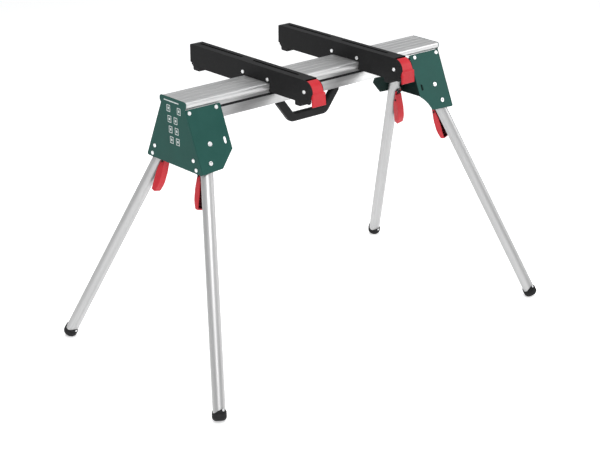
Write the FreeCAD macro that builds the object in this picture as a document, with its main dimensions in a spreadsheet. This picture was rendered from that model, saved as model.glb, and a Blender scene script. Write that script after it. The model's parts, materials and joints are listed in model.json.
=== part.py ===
import FreeCAD, Part
import math
import os
import Sketcher

# A folding mitre saw stand, in millimetres.  X runs along the rail, -Y is the operator's
# side, Z is up and the floor is Z = 0.  The rail carries two sliding saw brackets and, at
# each end, a pressed steel head with two folding legs that lock with a red lever.
#
# Frames used below:
#   corner frame: x along the rail, y down the leaning side plate, z inward from its outer
#                 face; its origin is on the plate line at the rail's neck.
#   leg frame:    x across the leg, y down the leg from its pivot, z inward from its axis.
# Leg pieces are modelled at the front right corner and mirrored to the others.  The side
# plates come in two patterns: the front right and back left ones have a curved lower edge,
# the other two a straight one.

Vector = FreeCAD.Vector
Placement = FreeCAD.Placement
Rotation = FreeCAD.Rotation

SIZES = {
    # rail and the leaning plates beside it
    "rail_length": 994.0,
    "plate_lean": 23.46,
    "plate_line_y": 50.6,
    "plate_line_z": 800.0,
    "sheet_steel": 3.0,
    "groove_top": 14.5,
    "groove_mouth_top": 17.6,
    "groove_mouth_low": 24.4,
    "groove_low": 27.5,
    "groove_lip": 3.0,
    "groove_deep": 12.0,
    "screw_hole_x": 133.0,
    "screw_radius": 2.5,
    "screw_head_radius": 5.0,
    "screw_head_high": 3.5,
    "screw_end": 6.7,
    "screw_hole_deep": 20.0,
    # end plates and side plates
    "flange_near": 62.0,
    "flange_far": 192.0,
    "flange_wide": 30.0,
    "flange_corner_radius": 6.0,
    "curved_cut_radius": 99.0,
    "pivot_x": 447.0,
    "pivot_down": 116.7,
    "pivot_bolt_radius": 6.0,
    "pivot_head_radius": 7.0,
    "pivot_head_high": 2.0,
    "pivot_nut_flats": 18.0,
    "pivot_nut_high": 5.0,
    "pivot_nut_gap": 0.6,
    "pivot_thread_end": 1.5,
    "lock_x": 461.4,
    "lock_down": 170.0,
    "bush_radius": 5.5,
    "bush_flange_radius": 6.5,
    "bush_flange_high": 1.2,
    "bush_hole_radius": 4.4,
    "slot_x": 391.8,
    "slot_down": 116.5,
    "slot_long": 20.5,
    "slot_wide": 9.0,
    "plate_bolt_down": 21.0,
    "plate_bolt_outer_x": 487.0,
    "plate_bolt_inner_x": 392.5,
    "bolt_head_radius": 6.0,
    "bolt_head_high": 2.4,
    "bolt_radius": 3.3,
    "bolt_nut_top": 10.5,
    "nut_clearance": 0.1,
    "edge_softening": 1.2,
    "bolt_head_rounding": 1.6,
    "rivet_head_rounding": 1.8,
    "small_head_rounding": 0.6,
    "drill_length": 70.0,
    "rivet_upper_y": 90.0,
    "rivet_upper_z": 653.5,
    "rivet_lower_y": 102.0,
    "rivet_lower_z": 628.4,
    "rivet_tail_radius": 4.5,
    "rivet_tail_high": 1.5,
    # legs
    "leg_splay": 15.1,
    "leg_axis_in": 22.0,
    "leg_radius": 18.0,
    "leg_wall": 2.0,
    "leg_top": 20.0,
    "leg_low": 760.0,
    "shaft_clearance": 0.05,
    "head_radius": 15.9,
    "head_low": 75.0,
    "rib_wide": 9.6,
    "lever_slot_wide": 10.0,
    "lever_slot_top": 45.0,
    "lever_slot_low": 95.0,
    "lock_pin_down": 55.2,
    "lock_pin_radius": 4.0,
    "lock_pin_tip": 18.7,
    "lock_pin_neck": 23.0,
    "lock_pin_head_radius": 6.5,
    "lock_pin_head_high": 3.0,
    "hinge_down": 84.0,
    "hinge_out": 26.0,
    "hinge_pin_radius": 2.0,
    "hinge_head_radius": 3.2,
    "hinge_head_high": 1.2,
    "hinge_head_gap": 0.3,
    "foot_low": 766.387,
    "foot_top": 726.0,
    "foot_radius": 20.75,
    "foot_round": 12.0,
    "foot_rim_low": 752.0,
    "foot_rim_radius": 21.0,
    "foot_ring_down": 745.5,
    "foot_ring_wide": 1.6,
    "foot_ring_deep": 0.7,
    "foot_rivet_down": 737.0,
    "foot_rivet_radius": 2.2,
    "foot_rivet_head_radius": 3.6,
    "foot_rivet_head_high": 0.9,
    # lock levers and their springs
    "lever_wide": 24.0,
    "lever_inside": 19.0,
    "lever_rib_into_wall": 1.0,
    "fork_gap": 10.2,
    "spring_wire": 0.5,
    "spring_radius": 3.3,
    "spring_pitch": 1.15,
    "spring_long": 3.0,
    "spring_start": 5.5,
    "spring_arm": 12.0,
    # carry handle
    "handle_deep": 20.0,
    "handle_edge_radius": 6.0,
    "handle_flange_in": 97.0,
    "handle_flange_out": 140.0,
    "handle_flange_low": 747.0,
    "rail_low": 751.2,
    # saw brackets
    "bracket_x": 175.5,
    "bracket_wide": 46.0,
    "bracket_sheet": 2.5,
    "bracket_top": 854.0,
    "bracket_arc": 33.5,
    "right_wall_arc": 30.2,
    "slot_centre_x": 4.0,
    "top_slot_wide": 8.0,
    "top_slot_long": 202.0,
    "rear_slot_y": 193.5,
    "front_slot_y": -57.0,
    "cross_bolt_radius": 4.0,
    "cross_head_radius": 5.5,
    "cross_head_high": 3.2,
    "spacer_y": 58.3,
    "front_spacer_y": -53.0,
    "spacer_z": 822.0,
    "clamp_pin_y": -213.0,
    "clamp_pin_z": 820.5,
    "insert_wide": 40.4,
    "end_cap_wall": 3.0,
    "jaw_wide": 39.0,
    "clamp_bar_wide": 16.0,
    "drum_radius": 30.4,
    "grip_wide": 48.0,
}

# Outlines that are not worked out from other sizes.  A third number rounds that corner.
OUTLINES = {
    # right half of the rail's section: crown with its shallow grooves, nose and neck
    "rail_crown": [(3.0, 810.7), (3.0, 811.5), (22.5, 811.5), (22.5, 810.7), (25.5, 810.7),
                   (25.5, 811.5), (43.0, 811.5), (43.0, 810.7), (45.0, 810.7),
                   (45.0, 811.5), (59.0, 811.5, 7.0), (59.0, 797.0), (51.45, 790.5)],
    # right half of the hollow inside the rail
    "rail_hollow": [(46.0, 808.5), (42.0, 790.0), (42.4, 781.0), (46.5, 766.0),
                    (58.0, 766.0), (64.0, 753.7)],
    # right half of each end plate; the right one ends level with the rail's crown
    "end_plate_left": [(60.2, 813.5, 8.0), (60.2, 799.0), (54.6, 790.8),
                       (130.0, 617.0, 5.0)],
    "end_plate_right": [(59.0, 811.5, 7.0), (59.0, 797.0), (54.6, 790.8),
                        (130.0, 617.0, 5.0)],
    # side plate in its corner frame: from the top inner corner down the cut edge
    "side_plate": [(375.0, 11.0, 5.0), (375.0, 144.0), (412.0, 193.0), (497.0, 197.0),
                   (497.0, 11.0, 3.0)],
    "side_plate_straight": [(375.0, 11.0, 5.0), (375.0, 145.0), (425.0, 193.0),
                            (497.0, 197.0), (497.0, 11.0, 3.0)],
    # rib of the leg head that carries the lever's hinge
    "head_rib": [(66.0, 10.0), (66.0, 18.5), (79.0, 28.0), (90.0, 29.5, 3.0),
                 (92.0, 27.0), (92.0, 10.0)],
    # lock lever, along the leg and out from its axis: fork, leg side edge, tip and back
    "lever": [(50.0, 19.2), (104.0, 19.2, 20.0), (125.0, 23.3, 60.0), (150.0, 30.0),
              (177.5, 36.7, 3.0), (177.5, 51.0, 9.0), (146.0, 52.6, 60.0),
              (115.0, 45.0, 60.0), (85.0, 34.0), (70.0, 28.0), (63.0, 25.2, 1.2),
              (63.0, 21.5), (50.0, 21.5)],
    "lever_hollow": [(66.0, 10.0), (66.0, 24.0), (85.0, 31.4), (115.0, 42.4, 60.0),
                     (146.0, 50.0, 60.0), (173.5, 48.6, 7.0), (173.5, 10.0)],
    # right half of the lever seen square to the plate, and what is cut for the fork
    "lever_plan": [(10.8, 40.0), (10.8, 80.0, 60.0), (12.0, 108.0, 60.0),
                   (12.0, 160.0, 60.0), (10.6, 177.6, 6.0)],
    "lever_plan_around": [(20.0, 30.0), (20.0, 190.0)],
    "lever_fork": [(45.0, 10.0), (67.0, 10.0), (67.0, 23.9), (45.0, 23.9)],
    # ribs across the inside of the lever, from its fork end to its tip
    "lever_rib_1": [(120.0, 33.0), (122.0, 33.0), (122.0, 43.5), (120.0, 43.5)],
    "lever_rib_2": [(140.0, 33.0), (141.5, 33.0), (141.5, 47.6), (140.0, 47.6)],
    "lever_rib_3": [(148.0, 33.0), (149.5, 33.0), (149.5, 47.6), (148.0, 47.6)],
    "lever_rib_4": [(156.0, 34.0), (157.5, 34.0), (157.5, 47.6), (156.0, 47.6)],
    "lever_rib_5": [(164.0, 36.0), (165.5, 36.0), (165.5, 47.6), (164.0, 47.6)],
    # half of the carry handle's loop
    "handle_outside": [(126.0, 751.2), (122.0, 719.0, 14.0), (72.0, 655.0, 28.0)],
    "handle_inside": [(97.5, 751.2), (94.0, 727.0, 10.0), (58.8, 682.0, 14.0)],
    # side of a saw bracket, front end first
    "bracket_front": [(-232.0, 786.5, 3.0), (-238.5, 790.0, 3.0), (-238.5, 800.0, 4.0),
                      (-241.0, 812.0, 6.0), (-246.5, 820.5)],
    "bracket_rear": [(311.5, 854.0, 3.0), (311.5, 798.0, 3.0), (301.0, 798.0),
                     (301.0, 787.0, 3.0), (60.5, 787.0), (60.5, 811.8), (-60.5, 811.8),
                     (-60.5, 786.5)],
    "end_cap": [(309.0, 851.0), (309.0, 790.0), (301.0, 790.0), (301.0, 774.6, 5.0),
                (269.0, 774.6, 5.0), (269.0, 790.0), (262.0, 790.0), (262.0, 851.0)],
    "end_cap_hollow": [(306.0, 856.0), (306.0, 796.0), (255.0, 796.0), (255.0, 856.0)],
    "channel_inside": [(-260.0, 770.0), (330.0, 770.0), (330.0, 851.5), (-260.0, 851.5)],
    "channel_drum_gap": [(-260.0, 840.0), (-211.0, 840.0), (-211.0, 870.0), (-260.0, 870.0)],
    "right_wall_cut": [(-30.2, 0.0), (-36.0, 0.0), (-36.0, 36.0), (0.0, 36.0), (0.0, 30.2)],
    "rail_hook": [(48.0, 812.0), (59.6, 812.0), (59.6, 796.4), (54.5, 791.9),
                  (54.5, 785.0), (72.0, 785.0, 3.0), (72.0, 828.0, 3.0), (48.0, 828.0, 3.0)],
    "jaw": [(-59.9, 814.0), (-59.9, 796.4), (-54.5, 791.9), (-54.5, 785.0),
            (-72.0, 785.0, 3.0), (-72.0, 814.0, 3.0)],
    "jaw_bar": [(-70.0, 799.0), (-190.0, 799.0), (-190.0, 811.0), (-70.0, 811.0)],
    "bracket_foot": [(-168.6, 797.0), (-168.6, 772.7, 5.0), (-195.0, 772.7, 5.0),
                     (-195.0, 797.0)],
    # clamp lever about its pin: drum end, front web, cam lobe
    "clamp_web": [(-28.19, 11.38), (-34.9, -1.6), (-36.4, -38.0), (-32.5, -38.0),
                  (-29.0, -20.0, 8.0), (-13.0, -10.0, 8.0), (2.0, -11.0, 6.0),
                  (19.0, -18.5, 2.0), (22.4, -9.5, 4.0), (8.0, 6.0, 3.0), (-2.65, 30.28)],
    "clamp_grip": [(-33.95, -1.0), (-35.7, -1.0, 1.2), (-39.0, -38.5, 2.5),
                   (-33.0, -38.5, 2.0), (-31.6, -20.5)],
}


class Size:
    """A length in the sheet: its number, and the expression that reads it there."""

    def __init__(self, value, text):
        self.value = float(value)
        self.text = text

    def join(self, sign, other, value):
        return Size(value, f"({self.text} {sign} {other.text})")

    def __add__(self, other):
        other = as_size(other)
        return self.join("+", other, self.value + other.value)

    def __sub__(self, other):
        other = as_size(other)
        return self.join("-", other, self.value - other.value)

    def __mul__(self, other):
        other = as_size(other)
        return self.join("*", other, self.value * other.value)

    def __truediv__(self, other):
        other = as_size(other)
        return self.join("/", other, self.value / other.value)

    def __neg__(self):
        return Size(-self.value, f"(0 - {self.text})")


def as_size(number):
    return number if isinstance(number, Size) else Size(number, repr(float(number)))


doc = FreeCAD.newDocument("MitreSawStand")
sheet = doc.addObject("Spreadsheet::Sheet", "Sizes")
nodes = []


def write_cell(row, alias, value):
    sheet.set(f"A{row}", alias)
    sheet.set(f"B{row}", repr(float(value)))
    sheet.setAlias(f"B{row}", alias)


def fill_sheet():
    row = 1
    for alias, value in SIZES.items():
        write_cell(row, alias, value)
        row += 1
    for name, points in OUTLINES.items():
        for index, point in enumerate(points, 1):
            for axis, value in zip(("across", "along", "round"), point):
                write_cell(row, f"{name}_{axis}_{index}", value)
                row += 1
    doc.recompute()


def size(alias):
    return Size(SIZES[alias], f"Sizes.{alias}")


def outline(name):
    """The corners of a stored outline, each as sizes read from the sheet."""
    corners = []
    for index, point in enumerate(OUTLINES[name], 1):
        names = [f"Sizes.{name}_{axis}_{index}" for axis in ("across", "along", "round")]
        corners.append(tuple(Size(value, text) for value, text in zip(point, names)))
    return corners


def mirrored(corners):
    """A symmetric outline: the right half, then its mirror image back to the start."""
    other_half = [(-corner[0],) + tuple(corner[1:]) for corner in reversed(corners)]
    return list(corners) + other_half


def sine(angle):
    return Size(math.sin(math.radians(angle.value)), f"sin({angle.text})")


def cosine(angle):
    return Size(math.cos(math.radians(angle.value)), f"cos({angle.text})")


# ---------------------------------------------------------------- sketches and features


def new_body(label, placement=None):
    body = doc.addObject("PartDesign::Body", label)
    body.Label = label
    if placement is not None:
        body.Placement = placement
    return body


def new_sketch(body, plane, offset=0.0):
    """A sketch on one of the body's own origin planes, moved along its normal."""
    sketch = body.newObject("Sketcher::SketchObject", f"{body.Name}_sketch")
    for feature in body.Origin.OriginFeatures:
        if feature.Role == f"{plane}_Plane":
            sketch.AttachmentSupport = [(feature, "")]
    sketch.MapMode = "FlatFace"
    offset = as_size(offset)
    sketch.AttachmentOffset = Placement(Vector(0, 0, offset.value), Rotation())
    sketch.setExpression("AttachmentOffset.Base.z", offset.text)
    return sketch


def fix_point(sketch, geometry, position, across, along):
    """Bind one point of the sketch to its place in the sheet."""
    for kind, axis, length in (("DistanceX", -2, across), ("DistanceY", -1, along)):
        if abs(length.value) < 1e-9:
            sketch.addConstraint(Sketcher.Constraint("PointOnObject", geometry, position, axis))
            continue
        number = sketch.addConstraint(
            Sketcher.Constraint(kind, -1, 1, geometry, position, length.value))
        sketch.setExpression(f"Constraints[{number}]", length.text)


def fix_radius(sketch, geometry, radius):
    number = sketch.addConstraint(Sketcher.Constraint("Radius", geometry, radius.value))
    sketch.setExpression(f"Constraints[{number}]", radius.text)


def draw_circle(sketch, across, along, radius):
    across, along, radius = as_size(across), as_size(along), as_size(radius)
    middle = Vector(across.value, along.value, 0)
    circle = sketch.addGeometry(Part.Circle(middle, Vector(0, 0, 1), radius.value), False)
    fix_point(sketch, circle, 3, across, along)
    fix_radius(sketch, circle, radius)


def draw_outline(sketch, corners, bows=None):
    """A closed outline.  A corner's third size rounds it; bows gives the radius of each
    side that is an arc, by the number of the corner it leaves, positive to bulge left."""
    bows = bows or {}
    corners = [tuple(as_size(part) for part in corner) for corner in corners]
    count = len(corners)
    points = [Vector(corner[0].value, corner[1].value, 0) for corner in corners]
    cuts = []
    for index, corner in enumerate(corners):
        before = (points[index - 1] - points[index]).normalize()
        after = (points[(index + 1) % count] - points[index]).normalize()
        if len(corner) < 3:
            cuts.append((points[index], points[index], None))
            continue
        half = before.getAngle(after) / 2
        reach = corner[2].value / math.tan(half)
        bisector = (before + after).normalize()
        middle = points[index] + bisector * (corner[2].value / math.sin(half))
        cuts.append((points[index] + before * reach, points[index] + after * reach, middle))
    sides = []
    for index in range(count):
        start, end = cuts[index][1], cuts[(index + 1) % count][0]
        if index in bows:
            sides.append(draw_arc(sketch, start, end, as_size(bows[index])))
        else:
            sides.append((sketch.addGeometry(Part.LineSegment(start, end), False), 1, 2))
    for index, corner in enumerate(corners):
        before, after = sides[index - 1], sides[index]
        if cuts[index][2] is None:
            sketch.addConstraint(
                Sketcher.Constraint("Coincident", before[0], before[2], after[0], after[1]))
            fix_point(sketch, after[0], after[1], corner[0], corner[1])
        else:
            round_corner(sketch, before, after, cuts[index], corner, points[index])


def draw_arc(sketch, start, end, bow):
    """An arc between two points with the given radius, bulging left of travel when positive."""
    radius = abs(bow.value)
    chord = end - start
    left = Vector(-chord.y, chord.x, 0).normalize()
    depth = math.sqrt(radius ** 2 - (chord.Length / 2) ** 2)
    middle = (start + end) * 0.5 - left * (depth if bow.value > 0 else -depth)
    number, first, last = add_arc(sketch, middle, radius, start, end, bow.value < 0)
    fix_radius(sketch, number, bow if bow.value > 0 else -bow)
    return number, first, last


def add_arc(sketch, middle, radius, start, end, turns_left):
    """Add an arc from start to end and say which of its ends is which."""
    if not turns_left:
        start, end = end, start
    first = math.atan2(start.y - middle.y, start.x - middle.x)
    last = math.atan2(end.y - middle.y, end.x - middle.x)
    circle = Part.Circle(middle, Vector(0, 0, 1), radius)
    number = sketch.addGeometry(Part.ArcOfCircle(circle, first, last), False)
    return (number, 1, 2) if turns_left else (number, 2, 1)


def round_corner(sketch, before, after, cut, corner, point):
    """Round one corner with a tangent arc; the sharp corner stays as a fixed point."""
    start, end, middle = cut
    turn = (point - start).cross(end - point).z
    arc, first, last = add_arc(sketch, middle, corner[2].value, start, end, turn > 0)
    tip = sketch.addGeometry(Part.Point(point), True)
    fix_point(sketch, tip, 1, corner[0], corner[1])
    for side in (before, after):
        sketch.addConstraint(Sketcher.Constraint("PointOnObject", tip, 1, side[0]))
    sketch.addConstraint(Sketcher.Constraint("Tangent", before[0], before[2], arc, first))
    sketch.addConstraint(Sketcher.Constraint("Tangent", arc, last, after[0], after[1]))
    fix_radius(sketch, arc, corner[2])


def draw_box(sketch, left, low, right, high):
    draw_outline(sketch, [(left, low), (right, low), (right, high), (left, high)])


def draw_slot(sketch, across, along, wide, long):
    """A slot with round ends that runs up the sketch."""
    half_wide = as_size(wide) / 2
    reach = as_size(long) / 2 - half_wide
    across, along = as_size(across), as_size(along)
    corners = [(across - half_wide, along - reach), (across + half_wide, along - reach),
               (across + half_wide, along + reach), (across - half_wide, along + reach)]
    grown = half_wide * 1.0001
    draw_outline(sketch, corners, {0: -grown, 2: -grown})


def feature(body, kind, sketch, length, how="One side", back=False):
    """Add a pad or pocket of the given length, bound to the sheet."""
    before = None if body.Tip is None else body.Tip.Shape.Volume
    made = body.newObject(f"PartDesign::{kind}", f"{body.Name}_{kind.lower()}")
    made.Profile = sketch
    length = as_size(length)
    made.Length = length.value
    made.setExpression("Length", length.text)
    made.SideType = how
    made.Reversed = back
    doc.recompute()
    if before is not None and abs(made.Shape.Volume - before) < 1e-3:
        raise RuntimeError(f"{made.Name} changed nothing")
    return made


def pad(body, sketch, length, how="One side", back=False):
    return feature(body, "Pad", sketch, length, how, back)


def pocket(body, sketch, length, how="One side", back=False):
    return feature(body, "Pocket", sketch, length, how, back)


def revolve(body, sketch):
    """Turn the sketch a full circle about its upright axis."""
    made = body.newObject("PartDesign::Revolution", f"{body.Name}_turned")
    made.Profile = sketch
    made.ReferenceAxis = (sketch, ["V_Axis"])
    made.Angle = 360
    doc.recompute()
    return made


def keep(piece):
    nodes.append(piece)
    return piece


def mirror(piece, label, normal):
    """The mirror image of a piece in the plane through the middle of the stand."""
    image = doc.addObject("Part::Mirroring", label)
    image.Label = label
    image.Source = piece
    image.Base = Vector()
    image.Normal = normal
    return keep(image)


def four_corners(piece, name):
    """Keep the front right piece and mirror it to the other three corners."""
    piece.Label = f"{name}_front_right"
    keep(piece)
    across, along = Vector(1, 0, 0), Vector(0, 1, 0)
    front_left = mirror(piece, f"{name}_front_left", across)
    mirror(piece, f"{name}_back_right", along)
    mirror(front_left, f"{name}_back_left", along)


def group(label, pattern, placements):
    """Copies of one fastener, kept as one node of separate solids."""
    copies = []
    for placement in placements:
        copy = doc.addObject("App::Link", f"{label}_copy")
        copy.LinkedObject = pattern
        copy.LinkTransform = False
        copy.Placement = placement
        copies.append(copy)
    made = doc.addObject("Part::Compound", label)
    made.Label = label
    made.Links = copies
    return keep(made)


# ---------------------------------------------------------------- frames and places


def corner_frame():
    lean = SIZES["plate_lean"]
    origin = Vector(0, -SIZES["plate_line_y"], SIZES["plate_line_z"])
    return Placement(origin, Rotation(Vector(1, 0, 0), -(90 + lean)))


def leg_frame():
    origin = Vector(SIZES["pivot_x"], SIZES["pivot_down"], SIZES["leg_axis_in"])
    splay = Rotation(Vector(0, 0, 1), -SIZES["leg_splay"])
    return corner_frame().multiply(Placement(origin, splay))


def on_plates(x, down):
    """The same spot on all four side plates, z pointing inward."""
    spot = corner_frame().multiply(Placement(Vector(x, down, 0), Rotation()))
    half_turn = Placement(Vector(), Rotation(Vector(0, 0, 1), 180))
    across = Placement(Vector(-2 * x, 0, 0), Rotation())
    other = across.multiply(spot)
    return [spot, other, half_turn.multiply(spot), half_turn.multiply(other)]


def on_section(down, inward):
    """A place beside the side plate, as sizes in the rail's section."""
    lean = size("plate_lean")
    across = size("plate_line_y") + as_size(down) * sine(lean) - as_size(inward) * cosine(lean)
    up = size("plate_line_z") - as_size(down) * cosine(lean) - as_size(inward) * sine(lean)
    return across, up


# ---------------------------------------------------------------- rail and end heads


def make_rail():
    sheet_steel, lip, deep = size("sheet_steel"), size("groove_lip"), size("groove_deep")
    crown = outline("rail_crown")
    groove = [on_section(size("groove_mouth_top"), sheet_steel),
              on_section(size("groove_mouth_top"), sheet_steel + lip),
              on_section(size("groove_top"), sheet_steel + lip),
              on_section(size("groove_top"), deep),
              on_section(size("groove_low"), deep),
              on_section(size("groove_low"), sheet_steel + lip),
              on_section(size("groove_mouth_low"), sheet_steel + lip),
              on_section(size("groove_mouth_low"), sheet_steel)]
    drop = (size("plate_line_z") - size("rail_low")) / cosine(size("plate_lean"))
    drop = drop - sheet_steel * sine(size("plate_lean")) / cosine(size("plate_lean"))
    bottom = [(on_section(drop, sheet_steel)[0], size("rail_low"))]
    body = new_body("rail")
    sketch = new_sketch(body, "YZ")
    draw_outline(sketch, mirrored(crown + groove + bottom))
    draw_outline(sketch, mirrored(outline("rail_hollow")))
    pad(body, sketch, size("rail_length"), "Symmetric")
    holes = new_sketch(body, "XY", size("rail_low"))
    for side in (size("screw_hole_x"), -size("screw_hole_x")):
        draw_circle(holes, side, 0, size("screw_radius"))
    pocket(body, holes, size("screw_hole_deep"), "Symmetric")
    keep(body)


def make_end_plate(name, end):
    body = new_body(f"end_plate_{name}")
    sketch = new_sketch(body, "YZ", size("rail_length") / 2 * end)
    draw_outline(sketch, mirrored(outline(f"end_plate_{name}")))
    for side in (1, -1):
        for row in ("upper", "lower"):
            draw_circle(sketch, size(f"rivet_{row}_y") * side, size(f"rivet_{row}_z"),
                        size("bolt_radius"))
    pad(body, sketch, size("sheet_steel"), back=end < 0)
    keep(body)


def side_plate(label, corners, bows):
    """A leaning plate with its rail bolts, leg pivot, lock hole, parking slot and flange."""
    body = new_body(label, corner_frame())
    sketch = new_sketch(body, "XY")
    draw_outline(sketch, corners, bows)
    draw_circle(sketch, size("pivot_x"), size("pivot_down"),
                size("pivot_bolt_radius") + size("shaft_clearance"))
    draw_circle(sketch, size("lock_x"), size("lock_down"), size("bush_radius"))
    for place in ("outer", "inner"):
        draw_circle(sketch, size(f"plate_bolt_{place}_x"), size("plate_bolt_down"),
                    size("bolt_radius"))
    draw_slot(sketch, size("slot_x"), size("slot_down"), size("slot_wide"), size("slot_long"))
    pad(body, sketch, size("sheet_steel"))
    flange = new_sketch(body, "YZ", size("rail_length") / 2)
    wide, corner = size("flange_wide"), size("flange_corner_radius")
    draw_outline(flange, [(size("flange_near"), 0), (size("flange_far"), 0),
                          (size("flange_far"), wide, corner),
                          (size("flange_near"), wide, corner)])
    pad(body, flange, size("sheet_steel"), back=True)
    drill = new_sketch(body, "YZ", size("rail_length") / 2)
    lean = size("plate_lean")
    for row in ("upper", "lower"):
        across = size(f"rivet_{row}_y") - size("plate_line_y")
        up = size("plate_line_z") - size(f"rivet_{row}_z")
        down = across * sine(lean) + up * cosine(lean)
        inward = up * sine(lean) - across * cosine(lean)
        draw_circle(drill, down, inward, size("bolt_radius"))
    pocket(body, drill, size("sheet_steel") * 4, "Symmetric")
    return body


def make_side_plates():
    across, along = Vector(1, 0, 0), Vector(0, 1, 0)
    curved = side_plate("side_plate_front_right", outline("side_plate"),
                        {1: -size("curved_cut_radius")})
    keep(curved)
    left_image = mirror(curved, "side_plate_curved_image", across)
    nodes.remove(left_image)
    mirror(left_image, "side_plate_back_left", along)
    straight = side_plate("side_plate_straight", outline("side_plate_straight"), {})
    mirror(straight, "side_plate_front_left", across)
    mirror(straight, "side_plate_back_right", along)


def turned_piece(label, corners, placement=None):
    """A round piece from its half section: radius across, length up along z."""
    body = new_body(label, placement)
    sketch = new_sketch(body, "XZ")
    draw_outline(sketch, corners)
    revolve(body, sketch)
    return body


def make_plate_fasteners():
    head, high, shank = size("bolt_head_radius"), size("bolt_head_high"), size("bolt_radius")
    steel, lip = size("sheet_steel"), size("groove_lip")
    nut_low = steel + lip + size("nut_clearance")
    bolt = turned_piece("plate_bolt", [
        (0, -high), (head, -high, size("bolt_head_rounding")), (head, 0), (shank, 0),
        (shank, nut_low),
        (head, nut_low), (head, size("bolt_nut_top")), (0, size("bolt_nut_top"))])
    spots = []
    for place in ("outer", "inner"):
        spots += on_plates(SIZES[f"plate_bolt_{place}_x"], SIZES["plate_bolt_down"])
    group("plate_bolts", bolt, spots)
    tail, tail_high = size("rivet_tail_radius"), size("rivet_tail_high")
    rivet = turned_piece("end_rivet", [
        (0, -high), (head, -high, size("rivet_head_rounding")), (head, 0), (shank, 0),
        (shank, steel * 2),
        (tail, steel * 2), (tail, steel * 2 + tail_high), (0, steel * 2 + tail_high)])
    spots = []
    for side in (1, -1):
        facing = Rotation(Vector(0, 1, 0), -90 * side)
        end = side * (SIZES["rail_length"] / 2 + SIZES["sheet_steel"])
        for row in ("upper", "lower"):
            for way in (1, -1):
                y, z = way * SIZES[f"rivet_{row}_y"], SIZES[f"rivet_{row}_z"]
                spots.append(Placement(Vector(end, y, z), facing))
    group("end_plate_rivets", rivet, spots)


def make_pivot_bolts():
    shank, head = size("pivot_bolt_radius"), size("pivot_head_radius")
    nut_low = size("leg_axis_in") + size("leg_radius") + size("pivot_nut_gap")
    end = nut_low + size("pivot_nut_high") + size("pivot_thread_end")
    body = turned_piece("pivot_bolt", [
        (0, -size("pivot_head_high")),
        (head, -size("pivot_head_high"), size("edge_softening")), (head, 0),
        (shank, 0), (shank, end), (0, end)])
    nut = new_sketch(body, "XY", nut_low)
    across = size("pivot_nut_flats") / cosine(as_size(30)) / 2
    corners = []
    for turn in range(0, 360, 60):
        angle = as_size(turn)
        corners.append((across * cosine(angle), across * sine(angle)))
    draw_outline(nut, corners)
    pad(body, nut, size("pivot_nut_high"))
    group("pivot_bolts", body, on_plates(SIZES["pivot_x"], SIZES["pivot_down"]))


def make_lock_bushes():
    hole, barrel = size("bush_hole_radius"), size("bush_radius")
    flange, high = size("bush_flange_radius"), size("bush_flange_high")
    bush = turned_piece("lock_bush", [
        (hole, -high), (flange, -high), (flange, 0), (barrel, 0),
        (barrel, size("sheet_steel")), (hole, size("sheet_steel"))])
    group("lock_bushes", bush, on_plates(SIZES["lock_x"], SIZES["lock_down"]))


# ---------------------------------------------------------------- legs


def along_leg(body, top, low, circles):
    """Pad round sections down the leg, from top to low."""
    top, low = as_size(top), as_size(low)
    sketch = new_sketch(body, "XZ", -top)
    for radius in circles:
        draw_circle(sketch, 0, 0, radius)
    pad(body, sketch, low - top, back=True)


def cross_hole(body, down, radius, how="Symmetric", back=False):
    """A hole through the leg at right angles to the plate."""
    sketch = new_sketch(body, "XY")
    draw_circle(sketch, 0, down, radius)
    pocket(body, sketch, size("drill_length"), how, back)


def make_leg_tube():
    body = new_body("leg_tube", leg_frame())
    radius = size("leg_radius")
    along_leg(body, -size("leg_top"), size("leg_low"), [radius, radius - size("leg_wall")])
    slot = new_sketch(body, "XY")
    half = size("lever_slot_wide") / 2
    draw_box(slot, -half, size("lever_slot_top"), half, size("lever_slot_low"))
    pocket(body, slot, size("drill_length"), back=True)
    clearance = size("shaft_clearance")
    cross_hole(body, 0, size("pivot_bolt_radius") + clearance)
    cross_hole(body, size("lock_pin_down"), size("lock_pin_radius") + clearance, "One side")
    cross_hole(body, size("foot_rivet_down"), size("foot_rivet_radius"))
    four_corners(body, "leg_tube")


def make_leg_head():
    body = new_body("leg_head", leg_frame())
    along_leg(body, -size("leg_top"), size("head_low"), [size("head_radius")])
    rib = new_sketch(body, "YZ")
    draw_outline(rib, outline("head_rib"))
    pad(body, rib, size("rib_wide"), "Symmetric")
    clearance = size("shaft_clearance")
    cross_hole(body, 0, size("pivot_bolt_radius") + clearance)
    cross_hole(body, size("lock_pin_down"), size("lock_pin_radius") + clearance)
    hinge = new_sketch(body, "YZ")
    draw_circle(hinge, size("hinge_down"), size("hinge_out"),
                size("hinge_pin_radius") + size("shaft_clearance"))
    pocket(body, hinge, size("drill_length"), "Symmetric")
    four_corners(body, "leg_head")


def make_lock_pin():
    radius, head = size("lock_pin_radius"), size("lock_pin_head_radius")
    tip, neck = -size("lock_pin_tip"), size("lock_pin_neck")
    top = neck + size("lock_pin_head_high")
    spot = leg_frame().multiply(Placement(Vector(0, SIZES["lock_pin_down"], 0), Rotation()))
    body = turned_piece("lock_pin", [
        (0, tip), (radius, tip, 1), (radius, neck), (head, neck), (head, top, 1), (0, top)],
        spot)
    four_corners(body, "lock_pin")


def hinge_place():
    """The lever's hinge line, with z along it across the leg."""
    place = Vector(0, SIZES["hinge_down"], SIZES["hinge_out"])
    across = Placement(place, Rotation(Vector(0, 1, 0), 90))
    return leg_frame().multiply(across)


def make_hinge_pin():
    radius, head = size("hinge_pin_radius"), size("hinge_head_radius")
    low = size("lever_wide") / 2 + size("hinge_head_gap")
    end, round_off = low + size("hinge_head_high"), size("small_head_rounding")
    body = turned_piece("hinge_pin", [
        (0, -end), (head, -end, round_off), (head, -low), (radius, -low), (radius, low),
        (head, low), (head, end, round_off), (0, end)], hinge_place())
    four_corners(body, "hinge_pin")


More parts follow.
